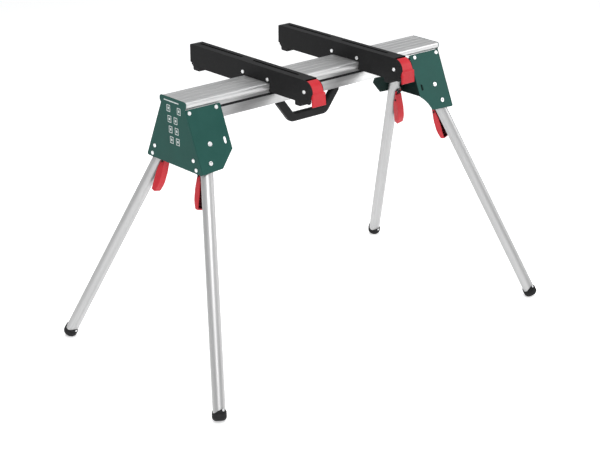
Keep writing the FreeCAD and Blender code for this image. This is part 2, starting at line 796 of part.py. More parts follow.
def make_lever_spring():
    """A torsion spring beside the hinge rib: three turns of wire with two straight arms."""
    start, radius, wire = size("spring_start"), size("spring_radius"), size("spring_wire")
    coil = doc.addObject("Part::Helix", "spring_coil")
    coil.Placement = Placement(Vector(0, 0, SIZES["spring_start"]), Rotation())
    for name, length in (("Pitch", size("spring_pitch")), ("Height", size("spring_long")),
                         ("Radius", radius)):
        setattr(coil, name, length.value)
        coil.setExpression(name, length.text)
    section = doc.addObject("Part::Circle", "spring_section")
    section.setExpression("Radius", wire.text)
    section.Placement = Placement(Vector(radius.value, 0, start.value),
                                  Rotation(Vector(1, 0, 0), 90))
    wound = doc.addObject("Part::Sweep", "spring_wound")
    wound.Sections = [section]
    wound.Spine = (coil, [])
    wound.Solid = True
    wound.Frenet = True
    arms = []
    turns = SIZES["spring_long"] / SIZES["spring_pitch"]
    ends = ((start.value, 0.0, 1), (start.value + SIZES["spring_long"], turns * 360, -1))
    for along, angle, way in ends:
        arm = doc.addObject("Part::Cylinder", "spring_arm")
        arm.setExpression("Radius", wire.text)
        arm.setExpression("Height", size("spring_arm").text)
        turned = Placement(Vector(), Rotation(Vector(0, 0, 1), angle))
        lying = Placement(Vector(radius.value, 0, along), Rotation(Vector(1, 0, 0), 90 * way))
        arm.Placement = turned.multiply(lying)
        arms.append(arm)
    joined = doc.addObject("Part::MultiFuse", "lever_spring")
    joined.Shapes = [wound] + arms
    joined.Placement = hinge_place().multiply(Placement(Vector(), Rotation(Vector(0, 0, 1), 180)))
    four_corners(joined, "lever_spring")


def make_lock_lever():
    body = new_body("lock_lever", leg_frame())
    side = new_sketch(body, "YZ")
    draw_outline(side, outline("lever"))
    pad(body, side, size("lever_wide"), "Symmetric")
    hollow = new_sketch(body, "YZ")
    draw_outline(hollow, outline("lever_hollow"))
    pocket(body, hollow, size("lever_inside"), "Symmetric")
    fork = new_sketch(body, "YZ")
    draw_outline(fork, outline("lever_fork"))
    pocket(body, fork, size("fork_gap"), "Symmetric")
    for name in sorted(OUTLINES):
        if not name.startswith("lever_rib_"):
            continue
        rib = new_sketch(body, "YZ")
        draw_outline(rib, outline(name))
        pad(body, rib, size("lever_inside") + size("lever_rib_into_wall"), "Symmetric")
    around = new_sketch(body, "XY")
    draw_outline(around, mirrored(outline("lever_plan_around")))
    draw_outline(around, mirrored(outline("lever_plan")))
    pocket(body, around, size("drill_length") * 2, "Symmetric")
    hinge = new_sketch(body, "YZ")
    draw_circle(hinge, size("hinge_down"), size("hinge_out"),
                size("hinge_pin_radius") + size("shaft_clearance"))
    pocket(body, hinge, size("drill_length"), "Symmetric")
    four_corners(body, "lock_lever")


def make_foot():
    """A rubber cap whose sleeve rises in two lobes, with a ring groove round it."""
    body = new_body("foot", leg_frame())
    sketch = new_sketch(body, "XY")
    outer, inner = size("foot_radius"), size("leg_radius")
    ring, ring_half = size("foot_ring_down"), size("foot_ring_wide") / 2
    deep = outer - size("foot_ring_deep")
    draw_outline(sketch, [
        (0, size("leg_low")), (inner, size("leg_low")), (inner, size("foot_top")),
        (outer, size("foot_top")), (outer, ring - ring_half), (deep, ring - ring_half),
        (deep, ring + ring_half), (outer, ring + ring_half),
        (outer, size("foot_low"), size("foot_round")), (0, size("foot_low"))])
    revolve(body, sketch)
    rim = new_sketch(body, "XY")
    half = size("foot_radius")
    above, low = size("foot_top") - 2, size("foot_rim_low")
    draw_outline(rim, [(half + 2, above), (half + 2, low), (half, low), (-half, low),
                       (-half - 2, low), (-half - 2, above)], {2: size("foot_rim_radius")})
    pocket(body, rim, size("drill_length"), "Symmetric")
    cross_hole(body, size("foot_rivet_down"), size("foot_rivet_radius"))
    four_corners(body, "foot")


def make_foot_rivets():
    radius, head = size("foot_rivet_radius"), size("foot_rivet_head_radius")
    inner = size("leg_radius") - size("leg_wall")
    seat = size("foot_radius")
    top = seat + size("foot_rivet_head_high")
    rivet = turned_piece("foot_rivet", [
        (0, inner), (radius, inner), (radius, seat), (head, seat),
        (head, top, size("small_head_rounding")), (0, top)])
    spots = []
    for turn in (0, 180):
        spot = Placement(Vector(0, SIZES["foot_rivet_down"], 0), Rotation(Vector(0, 1, 0), turn))
        spots.append(leg_frame().multiply(spot))
    pair = group("foot_rivets", rivet, spots)
    nodes.remove(pair)
    four_corners(pair, "foot_rivets")


# ---------------------------------------------------------------- carry handle


def make_carry_handle():
    body = new_body("carry_handle")
    loop = new_sketch(body, "XZ")
    outside, inside = outline("handle_outside"), outline("handle_inside")
    half = outside + [(-corner[0],) + corner[1:] for corner in reversed(outside)]
    half += [(-corner[0],) + corner[1:] for corner in inside] + list(reversed(inside))
    draw_outline(loop, half)
    square = pad(body, loop, size("handle_deep"), "Symmetric")
    long_edges = []
    for number, edge in enumerate(square.Shape.Edges, 1):
        flat = abs(edge.BoundBox.YLength) < 0.01
        top = edge.BoundBox.ZMin > SIZES["rail_low"] - 0.1
        if flat and not top:
            long_edges.append(f"Edge{number}")
    rounded = body.newObject("PartDesign::Fillet", "handle_rounding")
    rounded.Base = (square, long_edges)
    rounded.Radius = SIZES["handle_edge_radius"]
    rounded.setExpression("Radius", size("handle_edge_radius").text)
    doc.recompute()
    low, high = size("handle_flange_low"), size("rail_low")
    for side in (1, -1):
        foot = new_sketch(body, "XZ")
        near, far = size("handle_flange_in") * side, size("handle_flange_out") * side
        draw_box(foot, near, low, far, high)
        pad(body, foot, size("handle_deep"), "Symmetric")
    holes = new_sketch(body, "XY", size("rail_low"))
    for side in (1, -1):
        draw_circle(holes, size("screw_hole_x") * side, 0, size("screw_radius"))
    pocket(body, holes, size("screw_hole_deep"), "Symmetric")
    keep(body)
    screw = turned_piece("handle_screw", [
        (0, -size("screw_head_high")), (size("screw_head_radius"), -size("screw_head_high"), 1),
        (size("screw_head_radius"), 0), (size("screw_radius"), 0),
        (size("screw_radius"), size("screw_end")), (0, size("screw_end"))])
    spots = []
    for side in (1, -1):
        place = Vector(side * SIZES["screw_hole_x"], 0, SIZES["handle_flange_low"])
        spots.append(Placement(place, Rotation()))
    group("handle_screws", screw, spots)


# ---------------------------------------------------------------- saw brackets


def bracket_body(label, centre):
    return new_body(label, Placement(Vector(centre, 0, 0), Rotation()))


def bolt_lines():
    """Where the three cross bolts run: two spacers and the clamp lever's pin."""
    return [(size("spacer_y"), size("spacer_z")), (size("front_spacer_y"), size("spacer_z")),
            (size("clamp_pin_y"), size("clamp_pin_z"))]


def make_channel(name, centre):
    """The bracket: an inverted U of sheet steel, notched over the rail."""
    body = bracket_body(f"bracket_channel_{name}", centre)
    side = new_sketch(body, "YZ")
    front = outline("bracket_front")
    above_pin = (size("clamp_pin_y"), size("bracket_top"))
    draw_outline(side, front + [above_pin] + outline("bracket_rear"),
                 {len(front) - 1: size("bracket_arc")})
    for y, z in bolt_lines():
        draw_circle(side, y, z, size("cross_bolt_radius") + size("shaft_clearance"))
    pad(body, side, size("bracket_wide"), "Symmetric")
    steel = size("bracket_sheet")
    inside = size("bracket_wide") - steel * 2
    for part in ("channel_inside", "channel_drum_gap"):
        cut = new_sketch(body, "YZ")
        draw_outline(cut, outline(part))
        pocket(body, cut, inside, "Symmetric")
    wall_cut = new_sketch(body, "YZ")
    corners = []
    for across, along in outline("right_wall_cut"):
        corners.append((size("clamp_pin_y") + across, size("clamp_pin_z") + along))
    draw_outline(wall_cut, corners, {len(corners) - 1: -size("right_wall_arc")})
    pocket(body, wall_cut, size("bracket_wide"), back=True)
    slots = new_sketch(body, "XY", size("bracket_top"))
    for y in (size("rear_slot_y"), size("front_slot_y")):
        draw_slot(slots, size("slot_centre_x"), y, size("top_slot_wide"),
                  size("top_slot_long"))
    pocket(body, slots, steel * 4, "Symmetric")
    keep(body)


def make_end_cap(name, centre):
    body = bracket_body(f"bracket_end_cap_{name}", centre)
    side = new_sketch(body, "YZ")
    draw_outline(side, outline("end_cap"))
    pad(body, side, size("insert_wide"), "Symmetric")
    hollow = new_sketch(body, "YZ")
    draw_outline(hollow, outline("end_cap_hollow"))
    pocket(body, hollow, size("insert_wide") - size("end_cap_wall") * 2, "Symmetric")
    keep(body)


def make_rail_hook(name, centre):
    body = bracket_body(f"rail_hook_{name}", centre)
    side = new_sketch(body, "YZ")
    draw_outline(side, outline("rail_hook"))
    draw_circle(side, size("spacer_y"), size("spacer_z"),
                size("cross_bolt_radius") + size("shaft_clearance"))
    pad(body, side, size("jaw_wide"), "Symmetric")
    keep(body)


def make_bracket_foot(name, centre):
    body = bracket_body(f"bracket_foot_{name}", centre)
    side = new_sketch(body, "YZ")
    draw_outline(side, outline("bracket_foot"))
    pad(body, side, size("insert_wide"), "Symmetric")
    keep(body)


def make_clamp_jaw(name, centre):
    body = bracket_body(f"clamp_jaw_{name}", centre)
    jaw = new_sketch(body, "YZ")
    draw_outline(jaw, outline("jaw"))
    pad(body, jaw, size("jaw_wide"), "Symmetric")
    bar = new_sketch(body, "YZ")
    draw_outline(bar, outline("jaw_bar"))
    pad(body, bar, size("clamp_bar_wide"), "Symmetric")
    keep(body)


def make_clamp_lever(name, centre):
    """The red lever: a drum round the pin, a cam lobe behind and a ribbed grip in front."""
    spot = Vector(centre, SIZES["clamp_pin_y"], SIZES["clamp_pin_z"])
    body = new_body(f"clamp_lever_{name}", Placement(spot, Rotation()))
    web = new_sketch(body, "YZ")
    corners = outline("clamp_web")
    draw_outline(web, corners, {len(corners) - 1: -size("drum_radius")})
    draw_circle(web, 0, 0, size("cross_bolt_radius") + size("shaft_clearance"))
    pad(body, web, size("insert_wide"), "Symmetric")
    grip = new_sketch(body, "YZ")
    draw_outline(grip, outline("clamp_grip"))
    pad(body, grip, size("grip_wide"), "Symmetric")
    keep(body)


def make_cross_bolts(name, centre):
    shank, head = size("cross_bolt_radius"), size("cross_head_radius")
    half = size("bracket_wide") / 2
    end = half + size("cross_head_high")
    soft = size("edge_softening")
    bolt = turned_piece(f"cross_bolt_{name}", [
        (0, -end), (head, -end, soft), (head, -half), (shank, -half), (shank, half),
        (head, half), (head, end, soft), (0, end)])
    across = Rotation(Vector(0, 1, 0), 90)
    spots = [Placement(Vector(centre, y.value, z.value), across) for y, z in bolt_lines()]
    group(f"cross_bolts_{name}", bolt, spots)


def make_saw_brackets():
    for name, side in (("left", -1), ("right", 1)):
        centre = side * SIZES["bracket_x"]
        make_channel(name, centre)
        make_end_cap(name, centre)
        make_rail_hook(name, centre)
        make_bracket_foot(name, centre)
        make_clamp_jaw(name, centre)
        make_clamp_lever(name, centre)
        make_cross_bolts(name, centre)


def check_and_write():
    doc.recompute()
    for item in doc.Objects:
        if "Invalid" in item.State or "Error" in item.State:
            raise RuntimeError(f"{item.Label} failed: {item.State}")
    for node in nodes:
        shape = node.Shape
        if shape.isNull() or not shape.isValid() or not shape.Solids:
            raise RuntimeError(f"{node.Label} has no sound shape")
    os.makedirs("parts", exist_ok=True)
    for node in nodes:
        node.Shape.exportStep(f"parts/{node.Label}.step")
        box = node.Shape.BoundBox
        print(f"{node.Label}: {len(node.Shape.Solids)} solid(s), "
              f"X {box.XMin:.2f}..{box.XMax:.2f} Y {box.YMin:.2f}..{box.YMax:.2f} "
              f"Z {box.ZMin:.3f}..{box.ZMax:.2f}")
    print(len(nodes), "nodes")


fill_sheet()
make_rail()
make_end_plate("left", -1)
make_end_plate("right", 1)
make_side_plates()
make_plate_fasteners()
make_pivot_bolts()
make_lock_bushes()
make_carry_handle()
make_leg_tube()
make_leg_head()
make_lock_pin()
make_hinge_pin()
make_lever_spring()
make_lock_lever()
make_foot()
make_foot_rivets()
make_saw_brackets()
check_and_write()
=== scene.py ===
import json
import math

import bmesh
import bpy
from mathutils import Matrix, Vector


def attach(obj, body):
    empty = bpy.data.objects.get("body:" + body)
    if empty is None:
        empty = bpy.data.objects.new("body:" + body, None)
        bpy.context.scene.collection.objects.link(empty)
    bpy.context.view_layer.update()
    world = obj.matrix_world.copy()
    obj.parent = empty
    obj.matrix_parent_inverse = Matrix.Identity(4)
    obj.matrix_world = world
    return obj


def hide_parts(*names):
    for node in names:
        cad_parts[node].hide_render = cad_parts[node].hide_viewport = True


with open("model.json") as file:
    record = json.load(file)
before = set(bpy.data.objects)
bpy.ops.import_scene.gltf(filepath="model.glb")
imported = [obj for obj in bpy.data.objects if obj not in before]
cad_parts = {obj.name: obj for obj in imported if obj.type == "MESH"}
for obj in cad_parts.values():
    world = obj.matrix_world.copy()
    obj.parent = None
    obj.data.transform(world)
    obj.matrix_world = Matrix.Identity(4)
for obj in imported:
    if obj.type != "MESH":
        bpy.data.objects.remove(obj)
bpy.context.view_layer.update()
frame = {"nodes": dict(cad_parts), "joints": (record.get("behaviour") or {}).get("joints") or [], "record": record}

MM = 0.001
RECORD = frame["record"]
JOINTS = {joint["name"]: joint for joint in frame["joints"]}
CORNERS = {"front_right": (1, 1), "front_left": (-1, 1),
           "back_right": (1, -1), "back_left": (-1, -1)}
LEAN = math.radians(23.46)      # how far the side plates lean out from upright
SPLAY = math.radians(15.1)      # how far each leg turns outward in its plate's plane
RIB_TURNS = 2 * math.pi / 0.0031    # one rib every 3.1 mm
RIB_HEIGHT = 0.0003
PRINT_FACE = -0.4995            # only faces further left than this carry the print
# a plain picture guide on the left end plate: a bar over framed dots, each bar given as
# across, up, half width, half height
PRINT_BARS = [(6, 803, 34, 1.6)]
for row_up, row_places in ((781, (20, -28)), (750, (16, -12)), (720, (12, -16)),
                           (690, (8, -20))):
    for place in row_places:
        PRINT_BARS += [(place, row_up + 9, 8, 1.0), (place, row_up - 9, 8, 1.0),
                       (place - 7, row_up, 1.0, 9), (place + 7, row_up, 1.0, 9),
                       (place, row_up, 3.0, 3.6)]


RIB_BAND = (0.019, 0.787, 0.824)    # half width of the ribs, their lowest and highest
GREEN = ((0.0150, 0.066, 0.055), (0.019, 0.076, 0.064))
RED = ((0.44, 0.014, 0.022), (0.50, 0.020, 0.030))
RED_FINISH = ((0.34, 0.48), 1100.0, 0.00005, 0.25)   # roughness, grain, its depth, gloss
PRINT_INK = (0.62, 0.66, 0.65)
DUST = (0.22, 0.24, 0.23)

# how far each kind of node's hard edges are rounded over, in millimetres; the longest
# matching name counts, and 0 leaves the node's own mesh as it is
EDGE_WIDTHS = {"rail": 0.35, "end_plate": 0.7, "side_plate": 0.7, "plate_bolts": 0.35,
               "end_plate_rivets": 0.35, "pivot_bolts": 0.4, "lock_bushes": 0.35,
               "carry_handle": 0.8, "handle_screws": 0.3, "leg_tube": 0.35,
               "leg_head": 0.8, "hinge_pin": 0.25, "lever_spring": 0.0, "foot_": 0.9,
               "foot_rivets": 0.2, "lock_lever": 0.8, "lock_pin": 0.3,
               "bracket_channel": 0.8, "bracket_end_cap": 1.0, "rail_hook": 0.8,
               "bracket_foot": 1.2, "clamp_jaw": 0.8, "clamp_lever": 1.2,
               "cross_bolts": 0.4}

FLOOR_HALF = 60.0
FLOOR_GLOW = 0.42
SKY_LOW, SKY_HIGH, SKY_STRENGTH = (0.86, 0.86, 0.87, 1), (0.62, 0.63, 0.64, 1), 0.62
SOFTBOXES = [("key_softbox", (-2.6, -3.4, 3.6), (0, 0, 0.6), (2.6, 2.0), 150),
             ("fill_softbox", (3.6, -2.2, 2.4), (0, 0, 0.5), (2.4, 2.4), 60),
             ("top_softbox", (0.2, 0.4, 4.2), (0, 0, 0.6), (3.0, 2.2), 70)]
CAMERA_TURNS = (-41.535, 21.458, 0.115)      # azimuth, elevation and roll, in degrees
CAMERA_PLACE = (-3.0117, -3.4113, 2.0947)
CAMERA_LENS = 94.92
CAMERA_SHIFT = -0.0157


# ---------------------------------------------------------------- node graph helpers


class Graph:
    """A short way to write a material's nodes."""

    def __init__(self, name):
        self.material = bpy.data.materials.new(name)
        self.material.use_nodes = True
        self.tree = self.material.node_tree
        self.shader = self.tree.nodes["Principled BSDF"]

    def node(self, kind, **settings):
        made = self.tree.nodes.new(kind)
        for key, value in settings.items():
            if key in made.inputs:
                made.inputs[key].default_value = value
            else:
                setattr(made, key, value)
        return made

    def link(self, source, target):
        self.tree.links.new(source, target)

    def place(self, stretch=(1, 1, 1), turn=(0, 0, 0)):
        """Object coordinates in metres, turned and then stretched."""
        coordinates = self.node("ShaderNodeTexCoord")
        turned = self.node("ShaderNodeMapping", vector_type="POINT")
        turned.inputs["Rotation"].default_value = turn
        scaled = self.node("ShaderNodeVectorMath", operation="MULTIPLY")
        scaled.inputs[1].default_value = stretch
        self.link(coordinates.outputs["Object"], turned.inputs["Vector"])
        self.link(turned.outputs["Vector"], scaled.inputs[0])
        return scaled.outputs["Vector"]

    def noise(self, vector, scale, detail=3.0, roughness=0.55):
        made = self.node("ShaderNodeTexNoise")
        made.inputs["Scale"].default_value = scale
        made.inputs["Detail"].default_value = detail
        made.inputs["Roughness"].default_value = roughness
        self.link(vector, made.inputs["Vector"])
        return made.outputs["Fac"]

    def ramp(self, factor, stops):
        """A colour ramp: stops are (position, grey or colour)."""
        made = self.node("ShaderNodeValToRGB")
        elements = made.color_ramp.elements
        while len(elements) < len(stops):
            elements.new(0.5)
        for element, (position, colour) in zip(elements, stops):
            element.position = position
            if isinstance(colour, (int, float)):
                colour = (colour, colour, colour)
            element.color = (*colour, 1.0)
        self.link(factor, made.inputs["Fac"])
        return made.outputs["Color"]

    def spread(self, factor, low, high, near=0.3, far=0.7):
        """Map a noise to a range of numbers."""
        made = self.node("ShaderNodeMapRange")
        made.inputs["From Min"].default_value = near
        made.inputs["From Max"].default_value = far
        made.inputs["To Min"].default_value = low
        made.inputs["To Max"].default_value = high
        self.link(factor, made.inputs["Value"])
        return made.outputs["Result"]

    def mix(self, factor, first, second, blend="MIX"):
        made = self.node("ShaderNodeMix", data_type="RGBA", blend_type=blend)
        for value, socket in ((factor, 0), (first, 6), (second, 7)):
            if isinstance(value, bpy.types.NodeSocket):
                self.link(value, made.inputs[socket])
            elif socket == 0:
                made.inputs[socket].default_value = value
            else:
                made.inputs[socket].default_value = (*value, 1.0)
        return made.outputs[2]

    def math(self, operation, first, second=None):
        made = self.node("ShaderNodeMath", operation=operation)
        for value, socket in ((first, 0), (second, 1)):
            if isinstance(value, bpy.types.NodeSocket):
                self.link(value, made.inputs[socket])
            elif value is not None:
                made.inputs[socket].default_value = value
        return made.outputs[0]

    def bump(self, height, distance, strength=1.0, base=None):
        made = self.node("ShaderNodeBump")
        made.inputs["Strength"].default_value = strength
        made.inputs["Distance"].default_value = distance
        self.link(height, made.inputs["Height"])
        if base is not None:
            self.link(base, made.inputs["Normal"])
        return made.outputs["Normal"]

    def finish(self, colour, roughness, normal=None, metallic=0.0, **constants):
        for value, name in ((colour, "Base Color"), (roughness, "Roughness"),
                            (normal, "Normal")):
            if isinstance(value, bpy.types.NodeSocket):
                self.link(value, self.shader.inputs[name])
            elif value is not None:
                value = (*value, 1.0) if name == "Base Color" else value
                self.shader.inputs[name].default_value = value
        self.shader.inputs["Metallic"].default_value = metallic
        for name, value in constants.items():
            self.shader.inputs[name.replace("_", " ")].default_value = value
        return self.material


# ---------------------------------------------------------------- materials


def aluminium(name, turn=(0, 0, 0), tone=0.66, streaks=220.0, metal=0.88):
    """Satin aluminium with die lines and faint bands along its local X axis."""
    graph = Graph(name)
    lines = graph.noise(graph.place((0.9, streaks, streaks), turn), 4.0, 4.0, 0.6)
    bands = graph.noise(graph.place((0.35, 26.0, 26.0), turn), 3.0, 2.0)
    cloud = graph.noise(graph.place((3.0, 7.0, 7.0), turn), 2.0, 3.0)
    streaked = graph.ramp(lines, [(0.3, tone * 0.86), (0.7, tone * 1.06)])
    banded = graph.ramp(bands, [(0.32, 0.86), (0.68, 1.0)])
    colour = graph.mix(1.0, streaked, banded, "MULTIPLY")
    roughness = graph.spread(graph.mix(0.5, lines, cloud), 0.34, 0.5)
    normal = graph.bump(lines, 0.00006, 0.5)
    return graph.finish(colour, roughness, normal, metallic=metal)


def painted_shade_finish(name, colour, light):
    """Painted shade for the unlit inside of a hollow: the same finish darkened, with dust in its roughness and
    bumps.
    """
    graph = Graph(name)
    cloud = graph.noise(graph.place(), 40.0, 4.0)
    dust = graph.noise(graph.place(), 300.0, 4.0, 0.7)
    tint = graph.mix(graph.spread(cloud, 0.0, 1.0), colour, light)
    roughness = graph.spread(dust, 0.55, 0.8)
    return graph.finish(tint, roughness, graph.bump(dust, 0.00006, 0.5),
                        Specular_IOR_Level=0.12)


def powder_coat(name, colour, light, rough=(0.38, 0.5), grain=900.0, depth=0.00005,
                print_bars=()):
    """Painted sheet steel: orange-peel grain, uneven gloss and a little dust."""
    graph = Graph(name)
    peel = graph.noise(graph.place(), grain, 2.0)
    cloud = graph.noise(graph.place(), 14.0, 4.0)
    dust = graph.noise(graph.place(), 120.0, 5.0, 0.7)
    tint = graph.mix(graph.spread(cloud, 0.0, 1.0), colour, light)
    tint = graph.mix(graph.spread(dust, 0.0, 0.03, 0.55, 0.8), tint, DUST)
    if print_bars:
        worn = graph.math("MULTIPLY", printed(graph, print_bars),
                          graph.spread(dust, 0.75, 1.0))
        tint = graph.mix(worn, tint, PRINT_INK)
    roughness = graph.spread(cloud, rough[0], rough[1])
    return graph.finish(tint, roughness, graph.bump(peel, depth, 0.6),
                        Specular_IOR_Level=0.09)


def printed(graph, bars):
    """White bars printed on an upright sheet: middle and half size of each, in mm."""
    split = graph.node("ShaderNodeSeparateXYZ")
    graph.link(graph.place(), split.inputs[0])
    ink = graph.math("LESS_THAN", split.outputs["X"], PRINT_FACE)
    anywhere = None
    for across, up, half_wide, half_high in bars:
        inside = 1.0
        for axis, middle, half in (("Y", across, half_wide), ("Z", up, half_high)):
            off = graph.math("SUBTRACT", split.outputs[axis], middle * MM)
            near = graph.math("LESS_THAN", graph.math("ABSOLUTE", off), half * MM)
            inside = graph.math("MULTIPLY", near, inside)
        anywhere = inside if anywhere is None else graph.math("MAXIMUM", anywhere, inside)
    return graph.math("MULTIPLY", ink, anywhere)


def moulded_plastic(name, colour, light, rough=(0.36, 0.5), grain=1400.0, depth=0.00006,
                    gloss=0.12, ribs=None):
    """Injection moulded plastic with a fine spark-eroded texture."""
    graph = Graph(name)
    texture = graph.noise(graph.place(), grain, 3.0, 0.7)
    cloud = graph.noise(graph.place(), 22.0, 3.0)
    rubbed = graph.noise(graph.place(), 60.0, 6.0, 0.75)
    tint = graph.mix(graph.spread(cloud, 0.0, 1.0), colour, light)
    tint = graph.mix(graph.spread(rubbed, 0.0, 0.16, 0.56, 0.78), tint, light)
    roughness = graph.spread(graph.mix(0.5, cloud, rubbed), rough[0], rough[1])
    normal = graph.bump(texture, depth, 0.7)
    if ribs is not None:
        normal = graph.bump(grip_ribs(graph, *ribs), RIB_HEIGHT, 1.0, normal)
    return graph.finish(tint, roughness, normal, Specular_IOR_Level=gloss)


def grip_ribs(graph, middle, reach, low, high):
    """Level ribs across a grip: a wave up Z, kept between two heights and to its middle."""
    split = graph.node("ShaderNodeSeparateXYZ")
    graph.link(graph.place(), split.inputs[0])
    wave = graph.math("SINE", graph.math("MULTIPLY", split.outputs["Z"], RIB_TURNS))
    off_middle = graph.math("ABSOLUTE", graph.math("SUBTRACT", split.outputs["X"], middle))
    kept = [graph.math("LESS_THAN", off_middle, reach),
            graph.math("GREATER_THAN", split.outputs["Z"], low),
            graph.math("LESS_THAN", split.outputs["Z"], high)]
    for mask in kept:
        wave = graph.math("MULTIPLY", wave, mask)
    return wave


def plated_steel(name):
    """Bright zinc plate with a faint bluish cloud and fine turning marks."""
    graph = Graph(name)
    cloud = graph.noise(graph.place(), 160.0, 4.0, 0.65)
    fine = graph.noise(graph.place(), 2600.0, 2.0)
    tint = graph.ramp(cloud, [(0.3, (0.80, 0.81, 0.83)), (0.7, (0.93, 0.93, 0.92))])
    roughness = graph.spread(cloud, 0.22, 0.38)
    return graph.finish(tint, roughness, graph.bump(fine, 0.00003, 0.4), metallic=0.75)


def floor_material():
    graph = Graph("studio_floor")
    cloud = graph.noise(graph.place(), 0.7, 3.0)
    tint = graph.ramp(cloud, [(0.3, 0.93), (0.7, 0.96)])
    graph.finish(tint, 0.85)
    graph.shader.inputs["Emission Color"].default_value = (1, 1, 1, 1)
    graph.shader.inputs["Emission Strength"].default_value = FLOOR_GLOW
    return graph.material


def leg_turn(corner):
    """The turn that lays this leg's own axis along X, for its drawn texture."""
    across = leg_axes(corner)[2]
    return across.rotation_difference(Vector((1, 0, 0))).to_euler()


# ---------------------------------------------------------------- leg frames


def leg_axes(corner):
    """Pivot on the leg's axis, then the directions across, down and inward."""
    mirror_x, mirror_y = CORNERS[corner]
    plate_down = Vector((0, -math.sin(LEAN), -math.cos(LEAN)))
    inward = Vector((0, math.cos(LEAN), -math.sin(LEAN)))
    along = Vector((1, 0, 0))
    across = along * math.cos(SPLAY) - plate_down * math.sin(SPLAY)
    down = along * math.sin(SPLAY) + plate_down * math.cos(SPLAY)
    flip = Matrix.Diagonal((mirror_x, mirror_y, 1))
    pivot = Vector(JOINTS[f"leg_fold_{corner}"]["pos_m"])
    return pivot, flip @ across, flip @ down, flip @ inward


# ---------------------------------------------------------------- mesh helpers


def new_piece(name, mesh, material, node=None, body=None):
    """A finished object that rides on its body, carries its material and hides the node it stands for."""
    piece = bpy.data.objects.new(name, mesh)
    bpy.context.scene.collection.objects.link(piece)
    mesh.materials.clear()
    mesh.materials.append(material)
    if node is not None:
        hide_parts(node)
    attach(piece, body)
    return piece


def shade(work, sharp_angle):
    """Smooth the faces, with a crease wherever two meet at more than the angle."""
    for face in work.faces:
        face.smooth = True
    for edge in work.edges:
        edge.smooth = len(edge.link_faces) == 2 and edge.calc_face_angle(0) < sharp_angle


def softened(node, width, segments=2, clamped=False, sharp=math.radians(28),
             flat=math.radians(0.6)):
    """A copy of a CAD node's mesh with its hard edges rounded over."""
    work = bmesh.new()
    work.from_mesh(frame["nodes"][node].data)
    bmesh.ops.remove_doubles(work, verts=work.verts, dist=0.000002)
    bmesh.ops.dissolve_limit(work, angle_limit=flat, verts=work.verts, edges=work.edges)
    hard = [edge for edge in work.edges
            if len(edge.link_faces) == 2 and edge.calc_face_angle(0) > sharp]
    bmesh.ops.bevel(work, geom=hard, offset=width, segments=segments, profile=0.6,
                    affect="EDGES", clamp_overlap=clamped)
    bmesh.ops.recalc_face_normals(work, faces=work.faces)
    shade(work, math.radians(40))
    mesh = bpy.data.meshes.new(node + "_skin")
    work.to_mesh(mesh)
    work.free()
    return mesh


PLATE_LINE = (0.0506, 0.8)       # where a side plate's outer face starts, across and up
GROOVE = (0.014, 0.028, 0.0034)  # the rail's groove: from and to down the plate, inward
NUT_INWARD = 0.03                # a pivot bolt's nut starts further in than this
SHADE_INSIDE = 0.0025            # the inside of a side plate, which gets painted shade, is further in than this
END_PLATE_INSIDE = 0.4975        # an end plate's inner face is nearer the middle than this
LEVER_HALF_INSIDE = 0.0098
SADDLE_X = 0.1755                # the middle of each saw bracket
# the inside of a lock lever's back: how far down the leg, how far out from its axis
LEVER_BACK = [(0.0655, 0.0245), (0.085, 0.0319), (0.115, 0.0429), (0.146, 0.0505),
              (0.174, 0.0492)]

BODY_OF = {node: body for body, nodes in RECORD["behaviour"]["bodies"].items()
           for node in nodes}
SLOT_OF = {part["node"]: part["material_slot"] for part in RECORD["subparts"]}


def skin(node, width, material, clamped=False):
    """Replace a CAD node by its softened copy, with flat faces that shade flat."""
    mesh = softened(node, width * MM, 2, clamped)
    piece = new_piece(node + "_skin", mesh, material, node, BODY_OF[node])
    weighted = piece.modifiers.new("flat_faces", "WEIGHTED_NORMAL")
    weighted.mode = "FACE_AREA"
    weighted.weight = 100
    weighted.keep_sharp = True
    return piece


def paint_shade_on(piece, material, test):
    """Give painted shade, a second darker material, to the faces whose middles pass the test."""
    piece.data.materials.append(material)
    for polygon in piece.data.polygons:
        if test(polygon.center):
            polygon.material_index = len(piece.data.materials) - 1


def beside_plate(point):
    """How far a point lies down a side plate and inward from its outer face."""
    out, up = abs(point.y) - PLATE_LINE[0], point.z - PLATE_LINE[1]
    down = out * math.sin(LEAN) - up * math.cos(LEAN)
    inward = -out * math.cos(LEAN) - up * math.sin(LEAN)
    return down, inward


def in_groove(point):
    down, inward = beside_plate(point)
    return GROOVE[0] < down < GROOVE[1] and inward > GROOVE[2]


def in_lever(corner):
    """A test for the hollow inside of this corner's lock lever."""
    pivot, across, down, inward = leg_axes(corner)

    def test(point):
        away = point - pivot
        far, wide, deep = away.dot(down), abs(away.dot(across)), away.dot(inward)
        if wide > LEVER_HALF_INSIDE or not LEVER_BACK[0][0] < far < LEVER_BACK[-1][0]:
            return False
        for (near, low), (end, high) in zip(LEVER_BACK, LEVER_BACK[1:]):
            if far <= end:
                return deep < low + (high - low) * (far - near) / (end - near)
        return False
    return test


# ---------------------------------------------------------------- the object


